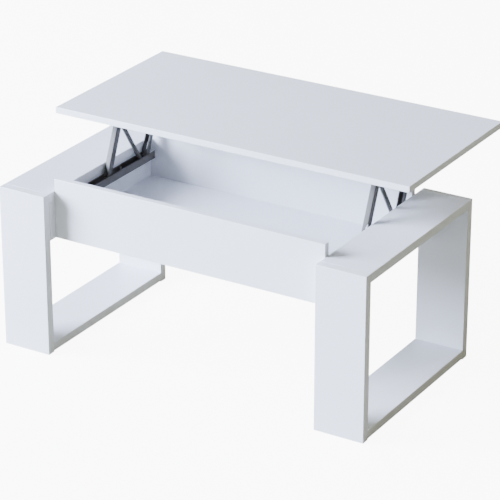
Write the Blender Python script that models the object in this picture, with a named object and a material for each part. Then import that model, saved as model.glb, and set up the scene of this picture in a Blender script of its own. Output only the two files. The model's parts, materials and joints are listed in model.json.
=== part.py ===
"""Lift-top coffee table with its top raised and swung back.

Metres, +Z up. +X runs along the table's length, and the table is seen from -Y, its front.
The top lies on a shallow tray between two loop legs. On each side two parallel arms carry it:
they swing about cross pins in a steel channel inside the tray, so the top rises, moves back
and stays level. The origin is on the floor, in the middle of the raised table's footprint.
"""

import math

import bmesh
import bpy
from mathutils import Matrix, Vector

# Overall size
LENGTH = 1.000
DEPTH = 0.520

# Loop legs: two uprights with a top and a base board between them
LEG_HEIGHT = 0.416
LEG_WIDTH = 0.130
LEG_BOARD = 0.022
LEG_BASE_GAP = 0.003

# Tray: front and back panels stand above the legs, and a floor closes them
TRAY_BOARD = 0.016
TRAY_INSET = 0.0445
TRAY_RISE = 0.032
TRAY_HEIGHT = 0.152

# Top
LID_BOARD = 0.016
LID_END_INSET = 0.0135
LID_SIDE_INSET = 0.0215
LID_SEAT = 0.0005

# Lifting linkage: the arms' length is a share of the table's depth, and their angle is
# measured from +Y towards +Z
ARM_LENGTH_SHARE = 0.2904
RAISED_ANGLE = math.radians(67.5)
PIN_BELOW_LID = 0.0144
ARM_WIDTH = 0.015
ARM_DEPTH = 0.016
WEB_END_OUTER = 0.040
WEB_END_INNER = 0.012
STEEL = 0.0015
CHANNEL_WIDTH = 0.023
CHANNEL_HEIGHT = 0.021
CHANNEL_DROP = 0.027
CHANNEL_END_GAP = 0.0155
PIVOT_HEIGHT = 0.012
REAR_PIVOT_INSET = 0.028
PIN_RADIUS = 0.0035
PIN_HEAD_RADIUS = 0.0055
PIN_HEAD = 0.0012
ANCHOR_SETBACK = 0.0191
ANCHOR_DROP = 0.0047
ANCHOR_PIN_RADIUS = 0.0025

# Lid bracket: an angle profile
BRACKET_REACH = 0.024
BRACKET_OVERHANG = 0.022
BRACKET_SIDE_GAP = 0.001
BRACKET_BELOW_PIN = 0.008

# Spring: two telescoping halves with an eye each
SPRING_RADIUS = 0.0055
SPRING_BORE = 0.0042
SPRING_CORE = 0.0036
SPRING_START = 0.008
SPRING_PLUG = 0.005
SPRING_BARREL_GAP = 0.0128
SPRING_CORE_GAP = 0.0178
EYE_WALL = 0.0017
EYE_THICKNESS = 0.004

# Fasteners
SCREW_RADIUS = 0.00175
SCREW_LENGTH = 0.014
SCREW_TIP = 0.004
SCREW_HEAD_RADIUS = 0.0038
SCREW_HEAD = 0.0018
SCREW_INSET = 0.034
BOLT_RADIUS = 0.0035
BOLT_LENGTH = 0.050
BOLT_HEAD_RADIUS = 0.0055
BOLT_HEAD = 0.004
DOWEL_RADIUS = 0.004
DOWEL_LENGTH = 0.030
DOWEL_IN_UPRIGHT = 0.011
DOWEL_CHAMFER = 0.001

# Clearances and edges
FIT = 0.0003
EDGE = 0.0006
ROUND_SEGMENTS = 16
CREASE_ANGLE = math.radians(35)

# Places worked out from the sizes above
LEG_INNER = LENGTH / 2 - LEG_WIDTH
UPRIGHT_INNER = DEPTH / 2 - LEG_BOARD
LEG_TOP_UNDERSIDE = LEG_HEIGHT - LEG_BOARD
TRAY_OUTER = DEPTH / 2 - TRAY_INSET
TRAY_INNER = TRAY_OUTER - TRAY_BOARD
TRAY_TOP = LEG_HEIGHT + TRAY_RISE
TRAY_BOTTOM = TRAY_TOP - TRAY_HEIGHT
LID_CLOSED_UNDERSIDE = TRAY_TOP + LID_SEAT
LID_DEPTH = DEPTH - 2 * LID_SIDE_INSET
LID_LENGTH = LENGTH - 2 * LID_END_INSET

CHANNEL_TOP = LEG_HEIGHT - CHANNEL_DROP
CHANNEL_BOTTOM = CHANNEL_TOP - CHANNEL_HEIGHT
CHANNEL_END = TRAY_INNER - CHANNEL_END_GAP
CHANNEL_OUTER_X = LEG_INNER - FIT
CHANNEL_X = CHANNEL_OUTER_X - CHANNEL_WIDTH / 2
PIVOT_Z = CHANNEL_BOTTOM + PIVOT_HEIGHT
ARM_LENGTH = ARM_LENGTH_SHARE * DEPTH
REAR_PIVOT_Y = CHANNEL_END - REAR_PIVOT_INSET
# With its top closed, the table's arms lean so far that the upper pins are just under the top.
CLOSED_RISE = LID_CLOSED_UNDERSIDE - PIN_BELOW_LID - PIVOT_Z
CLOSED_ANGLE = math.pi - math.asin(CLOSED_RISE / ARM_LENGTH)
# The spring's anchor is as far from the front pivot as the arm is long, so that the spring
# turns half as fast as the arm. It is in front of the rear pivot and a little lower, so that
# the folded rear arm clears it.
ANCHOR_ANGLE = -math.asin(ANCHOR_DROP / ARM_LENGTH)
ANCHOR_Y = REAR_PIVOT_Y - ANCHOR_SETBACK
ANCHOR_Z = PIVOT_Z - ANCHOR_DROP
FRONT_PIVOT_Y = ANCHOR_Y - ARM_LENGTH * math.cos(ANCHOR_ANGLE)
ARM_SPACING = REAR_PIVOT_Y - FRONT_PIVOT_Y

RAISED = Vector((0, math.cos(RAISED_ANGLE), math.sin(RAISED_ANGLE))) * ARM_LENGTH
CLOSED = Vector((0, math.cos(CLOSED_ANGLE), math.sin(CLOSED_ANGLE))) * ARM_LENGTH
LIFT = RAISED - CLOSED
SPRING_ANGLE = math.pi / 2 + (RAISED_ANGLE + ANCHOR_ANGLE) / 2
SPRING_LENGTH = 2 * ARM_LENGTH * math.sin((RAISED_ANGLE - ANCHOR_ANGLE) / 2)
LID_UNDERSIDE = LID_CLOSED_UNDERSIDE + LIFT.z
LID_Y = LIFT.y
BRACKET_X = CHANNEL_X - ARM_WIDTH / 2 - BRACKET_SIDE_GAP
# The footprint runs from the front uprights to the back edge of the raised top.
FOOTPRINT_BACK = max(DEPTH / 2, LID_Y + LID_DEPTH / 2)
ORIGIN_Y = (FOOTPRINT_BACK - DEPTH / 2) / 2

SIDES = (("left", -1), ("right", 1))
FINISHES = {}


def clear_scene():
    for thing in list(bpy.data.objects):
        bpy.data.objects.remove(thing)


def finish(name, colour, roughness, metallic):
    """A Principled material, made once for each finish."""
    if name not in FINISHES:
        material = bpy.data.materials.new(name)
        material.use_nodes = True
        shader = material.node_tree.nodes["Principled BSDF"]
        shader.inputs["Base Color"].default_value = (*colour, 1)
        shader.inputs["Roughness"].default_value = roughness
        shader.inputs["Metallic"].default_value = metallic
        material.diffuse_color = (*colour, 1)
        FINISHES[name] = material
    return FINISHES[name]


def melamine():
    return finish("white_melamine", (0.78, 0.80, 0.85), 0.38, 0.0)


def painted_steel():
    return finish("grey_painted_steel", (0.16, 0.17, 0.19), 0.42, 0.6)


def zinc():
    return finish("zinc_plated_steel", (0.62, 0.63, 0.65), 0.30, 1.0)


def spring_steel():
    return finish("spring_steel", (0.22, 0.23, 0.25), 0.38, 0.9)


def beech():
    return finish("beech", (0.62, 0.45, 0.28), 0.60, 0.0)


def add(name, bm, material, parent, place=(0, 0, 0), turn=0.0, round_piece=False):
    """Makes an object of a bmesh, turned about X, and hangs it on its parent."""
    bmesh.ops.recalc_face_normals(bm, faces=bm.faces)
    mesh = bpy.data.meshes.new(name)
    bm.to_mesh(mesh)
    bm.free()
    if round_piece:
        mesh.shade_smooth()
        mesh.set_sharp_from_angle(angle=CREASE_ANGLE)
    thing = bpy.data.objects.new(name, mesh)
    bpy.context.scene.collection.objects.link(thing)
    thing.parent = parent
    thing.location = place
    thing.rotation_euler.x = turn
    if material:
        mesh.materials.append(material)
    return thing


def pivot(name, parent, place):
    """An empty on a joint's axis."""
    empty = bpy.data.objects.new(name, None)
    bpy.context.scene.collection.objects.link(empty)
    empty.parent = parent
    empty.location = place
    return empty


def box_mesh(size):
    bm = bmesh.new()
    bmesh.ops.create_cube(bm, size=1)
    bmesh.ops.scale(bm, vec=size, verts=bm.verts)
    return bm


def prism_mesh(corners, sweep):
    """A prism: the face between its corners, swept along a vector."""
    bm = bmesh.new()
    face = bm.faces.new([bm.verts.new(corner) for corner in corners])
    grown = bmesh.ops.extrude_face_region(bm, geom=[face])
    moved = [item for item in grown["geom"] if isinstance(item, bmesh.types.BMVert)]
    bmesh.ops.translate(bm, vec=sweep, verts=moved)
    return bm


def turned_mesh(profile, axis="Z"):
    """A solid turned about an axis from (radius, height) points, which start and end on it."""
    bm = bmesh.new()
    points = [bm.verts.new((radius, 0, height)) for radius, height in profile]
    edges = [bm.edges.new(pair) for pair in zip(points, points[1:])]
    bmesh.ops.spin(
        bm, geom=points + edges, cent=(0, 0, 0), axis=(0, 0, 1), angle=math.tau,
        steps=ROUND_SEGMENTS, use_merge=True,
    )
    bmesh.ops.remove_doubles(bm, verts=bm.verts, dist=1e-6)
    turns = {
        "Z": Matrix.Identity(3),
        "X": Matrix.Rotation(math.pi / 2, 3, "Y"),
        "Y": Matrix.Rotation(-math.pi / 2, 3, "X"),
    }
    bmesh.ops.transform(bm, matrix=turns[axis].to_4x4(), verts=bm.verts)
    return bm


def rod_profile(radius, start, end, chamfer=0.0):
    """Profile of a round rod. A chamfer bevels both ends."""
    if not chamfer:
        return [(0, start), (radius, start), (radius, end), (0, end)]
    small = radius - chamfer
    return [
        (0, start), (small, start), (radius, start + chamfer),
        (radius, end - chamfer), (small, end), (0, end),
    ]


def combine(target, tool, operation):
    """Cuts or joins a helper object with a Boolean, and keeps the helper out of renders."""
    tool.hide_render = True
    tool.display_type = "WIRE"
    boolean = target.modifiers.new(tool.name, "BOOLEAN")
    boolean.operation = operation
    boolean.object = tool


def drill(target, profile, axis, place):
    """Cuts a turned hole at a place in the target's own frame."""
    name = f"{target.name}_hole_{len(target.modifiers)}"
    cutter = add(name, turned_mesh(profile, axis), None, target, place)
    combine(target, cutter, "DIFFERENCE")


def board(name, parent, x, y, z):
    """A board between pairs of low and high limits, with eased edges."""
    limits = (x, y, z)
    size = [high - low for low, high in limits]
    place = [(high + low) / 2 for low, high in limits]
    panel = add(name, box_mesh(size), melamine(), parent, place)
    ease = panel.modifiers.new("eased_edges", "BEVEL")
    ease.width = EDGE
    ease.segments = 1
    return panel


def between(target, x, y, z):
    """A world-frame place, given in the frame of a board."""
    return Vector((x, y, z)) - target.location


def span(side, inner, outer):
    """Low and high X limits on one side of the table."""
    return tuple(sorted((side * inner, side * outer)))


def leg(word, side, table):
    """One loop leg: two full-height uprights, a top board and a raised base board."""
    across = span(side, LEG_INNER, LENGTH / 2)
    middle = side * (LEG_INNER + LENGTH / 2) / 2
    between_uprights = (-UPRIGHT_INNER + FIT, UPRIGHT_INNER - FIT)
    base = (LEG_BASE_GAP, LEG_BASE_GAP + LEG_BOARD)
    top = (LEG_TOP_UNDERSIDE, LEG_HEIGHT)
    cross_boards = {
        "top": board(f"{word}_leg_top", table, across, between_uprights, top),
        "base": board(f"{word}_leg_base", table, across, between_uprights, base),
    }
    for end, way in (("front", -1), ("back", 1)):
        thick = tuple(sorted((way * UPRIGHT_INNER, way * DEPTH / 2)))
        upright = board(f"{word}_{end}_upright", table, across, thick, (0, LEG_HEIGHT))
        for level, cross_board in cross_boards.items():
            height = cross_board.location.z
            seat = way * (UPRIGHT_INNER + DOWEL_IN_UPRIGHT - DOWEL_LENGTH / 2)
            half = DOWEL_LENGTH / 2
            hole = rod_profile(DOWEL_RADIUS + FIT, -half - FIT, half + FIT)
            drill(upright, hole, "Y", between(upright, middle, seat, height))
            drill(cross_board, hole, "Y", between(cross_board, middle, seat, height))
            dowel = rod_profile(DOWEL_RADIUS, -half, half, DOWEL_CHAMFER)
            name = f"{word}_{end}_{level}_dowel"
            add(name, turned_mesh(dowel, "Y"), beech(), table, (middle, seat, height), 0, True)


def bolt_profile(grow=0.0):
    """A countersunk connecting bolt, its head's face at height 0 and its shank below."""
    return [
        (0, grow), (BOLT_HEAD_RADIUS + grow, grow), (BOLT_RADIUS + grow, -BOLT_HEAD),
        (BOLT_RADIUS + grow, -BOLT_LENGTH - grow), (0, -BOLT_LENGTH - grow),
    ]


def mirrored(profile, side):
    """Turned pieces along X point their heads away from the table's middle."""
    return [(radius, side * height) for radius, height in profile]


def tray(table):
    """Front, back and floor boards between two end rails, each joined by bolts."""
    ends = (-LEG_INNER + FIT, LEG_INNER - FIT)
    height = (TRAY_BOTTOM, TRAY_TOP)
    panels = {
        "front": board("tray_front", table, ends, (-TRAY_OUTER, -TRAY_INNER), height),
        "back": board("tray_back", table, ends, (TRAY_INNER, TRAY_OUTER), height),
    }
    inside = (-TRAY_INNER + FIT, TRAY_INNER - FIT)
    board("tray_floor", table, ends, inside, (TRAY_BOTTOM, TRAY_BOTTOM + TRAY_BOARD))
    rail_height = (TRAY_BOTTOM, LEG_TOP_UNDERSIDE - FIT)
    rail_reach = (-UPRIGHT_INNER + FIT, UPRIGHT_INNER - FIT)
    for word, side in SIDES:
        face = LEG_INNER + LEG_BOARD
        rail = board(f"{word}_rail", table, span(side, LEG_INNER, face), rail_reach, rail_height)
        for end, panel in panels.items():
            place = (side * face, panel.location.y, rail.location.z)
            hole = mirrored(bolt_profile(FIT), side)
            drill(rail, hole, "X", between(rail, *place))
            drill(panel, hole, "X", between(panel, *place))
            seated = (place[0] - side * FIT, place[1], place[2])
            shape = turned_mesh(mirrored(bolt_profile(), side), "X")
            add(f"{word}_{end}_bolt", shape, zinc(), table, seated, 0, True)


def channel_mesh():
    """A steel channel along Y, open at its top."""
    half = CHANNEL_WIDTH / 2
    inside = half - STEEL
    outline = [
        (-half, 0), (half, 0), (half, CHANNEL_HEIGHT), (inside, CHANNEL_HEIGHT),
        (inside, STEEL), (-inside, STEEL), (-inside, CHANNEL_HEIGHT), (-half, CHANNEL_HEIGHT),
    ]
    return prism_mesh([(x, -CHANNEL_END, z) for x, z in outline], (0, 2 * CHANNEL_END, 0))


def screw_profile():
    """A pan-head wood screw, its head's seat at height 0 and its shank below."""
    neck = SCREW_LENGTH - SCREW_TIP
    return [
        (0, SCREW_HEAD), (SCREW_HEAD_RADIUS, SCREW_HEAD / 2), (SCREW_HEAD_RADIUS, 0),
        (SCREW_RADIUS, 0), (SCREW_RADIUS, -neck), (0, -SCREW_LENGTH),
    ]


def cross_pin(name, parent, place, radius, reach):
    """A plain pin along X, which reaches the same way to both sides."""
    shape = turned_mesh(rod_profile(radius, -reach, reach), "X")
    add(name, shape, painted_steel(), parent, place, 0, True)


def channel(word, side, table, rail):
    """The channel with its cross pins and the screws that hold it to the rail."""
    x = side * CHANNEL_X
    profile = add(f"{word}_channel", channel_mesh(), painted_steel(), table, (x, 0, CHANNEL_BOTTOM))
    pins = {
        "front_arm": (FRONT_PIVOT_Y, PIVOT_Z, PIN_RADIUS),
        "rear_arm": (REAR_PIVOT_Y, PIVOT_Z, PIN_RADIUS),
        "spring_anchor": (ANCHOR_Y, ANCHOR_Z, ANCHOR_PIN_RADIUS),
    }
    for use, (y, z, radius) in pins.items():
        pin_hole = rod_profile(radius + FIT, -CHANNEL_WIDTH, CHANNEL_WIDTH)
        drill(profile, pin_hole, "X", (0, y, z - CHANNEL_BOTTOM))
        cross_pin(f"{word}_{use}_pin", table, (x, y, z), radius, CHANNEL_WIDTH / 2)
    first = -CHANNEL_END + SCREW_INSET
    second = (first + FRONT_PIVOT_Y) / 2
    third = (FRONT_PIVOT_Y + ANCHOR_Y) / 2
    seat = side * (CHANNEL_OUTER_X - STEEL)
    shank = rod_profile(SCREW_RADIUS + FIT, -SCREW_LENGTH, SCREW_LENGTH + FIT)
    for number, y in enumerate((first, second, third), 1):
        drill(profile, shank, "X", (seat - x, y, PIVOT_HEIGHT))
        drill(rail, shank, "X", between(rail, seat, y, PIVOT_Z))
        shape = turned_mesh(mirrored(screw_profile(), -side), "X")
        place = (seat - side * FIT, y, PIVOT_Z)
        add(f"{word}_channel_screw_{number}", shape, zinc(), table, place, 0, True)


def arm_outline():
    """A bar along +Y with a round end about each of its two pins."""
    radius = ARM_DEPTH / 2
    steps = ROUND_SEGMENTS // 2
    near = [math.pi / 2 + math.pi * step / steps for step in range(steps + 1)]
    far = [angle + math.pi for angle in near]
    start = [(radius * math.cos(angle), radius * math.sin(angle)) for angle in near]
    end = [(ARM_LENGTH + radius * math.cos(a), radius * math.sin(a)) for a in far]
    return start + end


def arm(name, side, parent, place, web):
    """A channel-section arm. Its web is at +Z of its own frame where web is 1, else at -Z.

    The web stops short of the lower pin, on a slant that runs down towards the tray's middle.
    """
    outline = [(-ARM_WIDTH / 2, y, z) for y, z in arm_outline()]
    shape = prism_mesh(outline, (ARM_WIDTH, 0, 0))
    bar = add(name, shape, painted_steel(), parent, place, RAISED_ANGLE)
    inside = ARM_WIDTH / 2 - STEEL
    hollow_depth = ARM_DEPTH - STEEL
    hollow = box_mesh((2 * inside, ARM_LENGTH + 2 * ARM_DEPTH, hollow_depth + STEEL))
    tool = add(f"{name}_hollow", hollow, None, bar, (0, ARM_LENGTH / 2, -web * STEEL))
    combine(bar, tool, "DIFFERENCE")
    low = -ARM_DEPTH
    corners = [
        (-side * inside, low, low), (side * inside, low, low),
        (side * inside, WEB_END_OUTER, low), (-side * inside, WEB_END_INNER, low),
    ]
    tool = add(f"{name}_notch", prism_mesh(corners, (0, 0, 2 * ARM_DEPTH)), None, bar)
    combine(bar, tool, "DIFFERENCE")
    for y in (0, ARM_LENGTH):
        drill(bar, rod_profile(PIN_RADIUS + FIT, -ARM_WIDTH, ARM_WIDTH), "X", (0, y, 0))


def headed_pin(name, side, parent, place):
    """The upper pin: it passes the arm and the lid bracket, with a low head at each end."""
    outer = ARM_WIDTH / 2 + FIT
    inner = ARM_WIDTH / 2 + BRACKET_SIDE_GAP + STEEL + FIT
    profile = [
        (0, outer + PIN_HEAD), (PIN_HEAD_RADIUS, outer + PIN_HEAD), (PIN_HEAD_RADIUS, outer),
        (PIN_RADIUS, outer), (PIN_RADIUS, -inner), (PIN_HEAD_RADIUS, -inner),
        (PIN_HEAD_RADIUS, -inner - PIN_HEAD), (0, -inner - PIN_HEAD),
    ]
    add(name, turned_mesh(mirrored(profile, side), "X"), zinc(), parent, place, 0, True)


def spring_half(name, parent, place, turn, profile, pin_radius):
    """One half of the spring, turned about its own length, with a flat eye about its pin."""
    half = add(name, turned_mesh(profile, "Y"), spring_steel(), parent, place, turn, True)
    bore = pin_radius + FIT
    disc = rod_profile(bore + EYE_WALL, -EYE_THICKNESS / 2, EYE_THICKNESS / 2)
    tab_length = SPRING_START + SPRING_PLUG / 2
    tab = add(f"{name}_eye", turned_mesh(disc, "X"), None, half)
    combine(half, tab, "UNION")
    neck_mesh = box_mesh((EYE_THICKNESS, tab_length, SPRING_CORE))
    neck = add(f"{name}_neck", neck_mesh, None, half, (0, tab_length / 2, 0))
    combine(half, neck, "UNION")
    drill(half, rod_profile(bore, -EYE_THICKNESS, EYE_THICKNESS), "X", (0, 0, 0))


def linkage(word, side, table):
    """The arms, their upper pins and the spring of one side."""
    x = side * CHANNEL_X
    front = Vector((x, FRONT_PIVOT_Y, PIVOT_Z))
    rear = Vector((x, REAR_PIVOT_Y, PIVOT_Z))
    anchor = Vector((x, ANCHOR_Y, ANCHOR_Z))
    arm(f"{word}_front_arm", side, table, front, 1)
    arm(f"{word}_rear_arm", side, table, rear, -1)
    headed_pin(f"{word}_front_lid_pin", side, table, front + RAISED)
    headed_pin(f"{word}_rear_lid_pin", side, table, rear + RAISED)
    floor = SPRING_START + SPRING_PLUG
    mouth = SPRING_LENGTH - SPRING_BARREL_GAP
    barrel = [
        (0, SPRING_START), (SPRING_RADIUS, SPRING_START), (SPRING_RADIUS, mouth),
        (SPRING_BORE, mouth), (SPRING_BORE, floor), (0, floor),
    ]
    lower = f"{word}_spring_lower"
    spring_half(lower, table, anchor, SPRING_ANGLE, barrel, ANCHOR_PIN_RADIUS)
    core = rod_profile(SPRING_CORE, SPRING_START, SPRING_LENGTH - SPRING_CORE_GAP)
    upper = f"{word}_spring_upper"
    spring_half(upper, table, front + RAISED, SPRING_ANGLE + math.pi, core, PIN_RADIUS)


def lid(table):
    """The top with an angle bracket under each end, all hung on the front lid pins' axis."""
    axis = Vector((0, FRONT_PIVOT_Y, PIVOT_Z)) + RAISED
    carrier = pivot("lid_pivot", table, axis)
    top = board(
        "top_panel", carrier, (-LID_LENGTH / 2, LID_LENGTH / 2),
        (LID_Y - LID_DEPTH / 2 - axis.y, LID_Y + LID_DEPTH / 2 - axis.y),
        (LID_UNDERSIDE - axis.z, LID_UNDERSIDE + LID_BOARD - axis.z),
    )
    bracket_top = LID_UNDERSIDE - FIT - axis.z
    low = -BRACKET_BELOW_PIN
    start = -BRACKET_OVERHANG
    end = ARM_SPACING + BRACKET_OVERHANG
    middle = (start + end) / 2
    for word, side in SIDES:
        outer = side * BRACKET_X
        outline = [
            (0, low), (0, bracket_top), (-side * BRACKET_REACH, bracket_top),
            (-side * BRACKET_REACH, bracket_top - STEEL), (-side * STEEL, bracket_top - STEEL),
            (-side * STEEL, low),
        ]
        shape = prism_mesh([(x, start, z) for x, z in outline], (0, end - start, 0))
        bracket = add(f"{word}_lid_bracket", shape, painted_steel(), carrier, (outer, 0, 0))
        for y in (0, ARM_SPACING):
            hole = rod_profile(PIN_RADIUS + FIT, -ARM_WIDTH, ARM_WIDTH)
            drill(bracket, hole, "X", (0, y, 0))
        screw_x = outer - side * (BRACKET_REACH + STEEL) / 2
        seat = bracket_top - STEEL
        hole = rod_profile(SCREW_RADIUS + FIT, -SCREW_LENGTH, SCREW_LENGTH + FIT)
        for number, y in enumerate((0, middle, ARM_SPACING), 1):
            drill(bracket, hole, "Z", (screw_x - outer, y, seat))
            drill(top, hole, "Z", between(top, screw_x, y, seat))
            shape = turned_mesh([(r, -h) for r, h in screw_profile()])
            place = (screw_x, y, seat - FIT)
            add(f"{word}_lid_screw_{number}", shape, zinc(), carrier, place, 0, True)


def main():
    clear_scene()
    table = pivot("table", None, (0, -ORIGIN_Y, 0))
    tray(table)
    for word, side in SIDES:
        leg(word, side, table)
        rail = bpy.data.objects[f"{word}_rail"]
        channel(word, side, table, rail)
        linkage(word, side, table)
    lid(table)


main()
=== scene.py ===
import json
import math

import bmesh
import bpy
from bpy.props import FloatProperty, FloatVectorProperty, IntProperty, PointerProperty
from mathutils import Matrix, Vector


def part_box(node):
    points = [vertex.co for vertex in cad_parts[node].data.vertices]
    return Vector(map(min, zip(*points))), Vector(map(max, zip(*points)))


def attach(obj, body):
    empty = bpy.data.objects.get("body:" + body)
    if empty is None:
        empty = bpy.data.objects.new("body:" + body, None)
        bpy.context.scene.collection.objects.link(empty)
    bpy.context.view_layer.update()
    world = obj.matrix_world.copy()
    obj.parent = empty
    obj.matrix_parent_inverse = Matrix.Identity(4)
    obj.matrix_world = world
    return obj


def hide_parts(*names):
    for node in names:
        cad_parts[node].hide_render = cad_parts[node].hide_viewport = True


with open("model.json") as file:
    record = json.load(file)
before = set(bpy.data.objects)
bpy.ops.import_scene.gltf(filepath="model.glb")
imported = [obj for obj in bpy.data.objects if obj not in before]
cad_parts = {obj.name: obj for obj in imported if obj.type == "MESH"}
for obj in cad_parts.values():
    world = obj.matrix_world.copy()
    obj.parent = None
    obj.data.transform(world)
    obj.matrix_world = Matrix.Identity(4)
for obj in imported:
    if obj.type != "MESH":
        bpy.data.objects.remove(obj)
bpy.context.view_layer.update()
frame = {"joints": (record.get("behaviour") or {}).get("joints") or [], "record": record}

bl_info = {
    "name": "Lift-top coffee table",
    "version": (1, 0, 0),
    "blender": (4, 5, 0),
    "location": "3D View > Sidebar > Table",
    "description": "Finishes a lift-top coffee table around its packed solids",
    "category": "Object",
}

MM = 0.001
SIDES = (("left", -1), ("right", 1))

SUBPARTS = frame["record"]["subparts"]
BOARDS = [part["node"] for part in SUBPARTS if part["material_slot"] == "white_melamine"]
DOWELS = [part["node"] for part in SUBPARTS if part["node"].endswith("dowel")]

JOINTS = {joint["name"]: Vector(joint["pos_m"]) for joint in frame["joints"]}
FRONT_PIVOTS = {"left": JOINTS["lift"], "right": JOINTS["right_front_swing"]}
REAR_PIVOTS = {side: JOINTS[f"{side}_rear_swing"] for side, _ in SIDES}
ANCHORS = {side: JOINTS[f"{side}_spring_turn"] for side, _ in SIDES}
LID_PIVOTS = {side: JOINTS[f"{side}_spring_follow"] for side, _ in SIDES}
ARM = LID_PIVOTS["left"] - FRONT_PIVOTS["left"]
ARM_TURN = math.atan2(ARM.z, ARM.y)
SPRING = LID_PIVOTS["left"] - ANCHORS["left"]
SPRING_TURN = math.atan2(SPRING.z, SPRING.y)

# Room round a pin or bolt that is free in its hole, and round one that is riveted in it
CLEARANCE = 0.3 * MM
RIVET_CLEARANCE = 0.05 * MM


# Settings


def size(name, description, default):
    """A length that a user can change."""
    return FloatProperty(name=name, description=description, default=default, unit="LENGTH")


def colour(name, description, default):
    """A colour that a user can change."""
    return FloatVectorProperty(
        name=name, description=description, default=default, size=3, min=0, max=1,
        subtype="COLOR",
    )


def position(name, description, default):
    """A place that a user can change."""
    return FloatVectorProperty(
        name=name, description=description, default=default, size=3, subtype="XYZ",
    )


class TableBoardSettings(bpy.types.PropertyGroup):
    """Melamine boards and their edge bands."""

    edge_radius: size("Edge radius", "Radius of a board's open edges", 1.1 * MM)
    butt_radius: size("Butt radius", "Radius of the edges that meet another board", 0.4 * MM)
    band: size("Edge band", "Distance of the edge band's seam from the edge", 1.6 * MM)
    seam: size("Seam", "Half the width, and the depth, of the seam", 0.12 * MM)
    segments: IntProperty(name="Segments", description="Faces across an eased edge", default=4)
    face: colour("Face", "Colour of the boards' faces", (0.78, 0.793, 0.84))
    edge: colour("Edge", "Colour of the edge bands", (0.79, 0.798, 0.83))


class TableSteelSettings(bpy.types.PropertyGroup):
    """Folded steel of the lifting linkage."""

    sheet: size("Sheet", "Thickness of the steel sheet", 1.5 * MM)
    bend: size("Bend", "Inner radius of a fold", 1.0 * MM)
    burr: size("Edge", "Width of the rounding on cut edges", 0.25 * MM)
    arm_depth: size("Arm depth", "Depth of an arm's channel section", 16 * MM)
    web_outer: size(
        "Web end, outer", "Distance of the web's end from the lower pin, outside", 40 * MM,
    )
    web_inner: size(
        "Web end, inner", "Distance of the web's end from the lower pin, inside", 12 * MM,
    )
    paint: colour("Paint", "Colour of the steel's finish", (0.078, 0.073, 0.067))


class TableSpringSettings(bpy.types.PropertyGroup):
    """Tension springs."""

    wire: size("Wire", "Diameter of the spring wire", 1.25 * MM)
    radius: size("Radius", "Outer radius of the barrel's coils", 5.5 * MM)
    core: size("Core radius", "Outer radius of the core's coils", 3.6 * MM)
    start: size("Start", "Distance of the first coil from the pin", 8 * MM)
    barrel_gap: size(
        "Barrel gap", "Distance of the barrel's last coil from the far pin", 12.8 * MM,
    )
    core_gap: size("Core gap", "Distance of the core's last coil from the far pin", 17.8 * MM)
    eye_gap: size("Eye gap", "Clearance between an eye and its pin", 0.3 * MM)
    tone: colour("Wire colour", "Colour of the spring wire", (0.125, 0.12, 0.115))


class TableFastenerSettings(bpy.types.PropertyGroup):
    """Screws, bolts, pins and dowels."""

    pin: size("Pin", "Radius of the pivot pins", 3.5 * MM)
    anchor_pin: size("Anchor pin", "Radius of the pins that anchor the springs", 2.5 * MM)
    pin_head: size("Pin head", "Radius of a pin's head", 5.5 * MM)
    screw: size("Screw", "Radius of a wood screw's shank", 1.75 * MM)
    screw_head: size("Screw head", "Radius of a wood screw's head", 3.8 * MM)
    bolt: size("Bolt", "Radius of a connecting bolt's shank", 3.5 * MM)
    bolt_head: size("Bolt head", "Radius of a connecting bolt's head", 5.5 * MM)
    dowel: size("Dowel", "Radius of a dowel", 4 * MM)
    plating: colour("Plating", "Colour of the zinc plate", (0.46, 0.47, 0.49))
    beech: colour("Beech", "Colour of the dowels", (0.60, 0.42, 0.25))
    seed: IntProperty(name="Seed", description="Seed of the screws' turns", default=7)


class TableStageSettings(bpy.types.PropertyGroup):
    """Floor, lights and camera."""

    camera_place: position("Camera", "Place of the camera", (2.8653, -4.7468, 2.7079))
    azimuth: FloatProperty(
        name="Azimuth", description="Turn of the camera from +Y", subtype="ANGLE",
        default=0.54477,
    )
    pitch: FloatProperty(
        name="Pitch", description="Camera's angle below the horizon", subtype="ANGLE",
        default=0.41989,
    )
    lens: FloatProperty(name="Lens", description="Focal length in millimetres", default=179.8)
    floor: colour("Floor", "Colour of the floor", (0.35, 0.34, 0.27))
    backdrop: FloatProperty(
        name="Backdrop", description="Brightness of the floor and backdrop", default=9.0,
    )
    sky: FloatProperty(name="Sky", description="Strength of the even light", default=0.34)
    sky_tone: colour("Sky tone", "Colour of the even light", (1.0, 0.975, 0.76))
    key: FloatProperty(
        name="Key", description="Power of the key light", default=5200, subtype="POWER",
    )
    key_tone: colour("Key tone", "Colour of the key light", (0.69, 0.775, 1.0))
    key_place: position("Key place", "Place of the key light", (-5.88, -4.12, 3.05))
    key_width: size("Key width", "Width of the key light", 4.5)
    rim: FloatProperty(
        name="Rim", description="Power of the light behind the table", default=90,
        subtype="POWER",
    )
    rim_place: position("Rim place", "Place of the light behind the table", (2.34, 4.68, 3.06))
    rim_width: size("Rim width", "Width of the light behind the table", 1.0)


class TableSettings(bpy.types.PropertyGroup):
    """All the table's settings."""

    boards: PointerProperty(type=TableBoardSettings)
    steel: PointerProperty(type=TableSteelSettings)
    springs: PointerProperty(type=TableSpringSettings)
    fasteners: PointerProperty(type=TableFastenerSettings)
    stage: PointerProperty(type=TableStageSettings)


# Materials


def node(tree, kind, **values):
    """Adds a shader or geometry node, and sets its properties and its inputs."""
    new = tree.nodes.new(kind)
    for name, value in values.items():
        if name in new.inputs:
            new.inputs[name].default_value = value
        else:
            setattr(new, name, value)
    return new


def link(tree, *wires):
    """Links sockets, each pair of them given as (node, output, node, input)."""
    for start, output, end, entry in wires:
        tree.links.new(start.outputs[output], end.inputs[entry])


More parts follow.
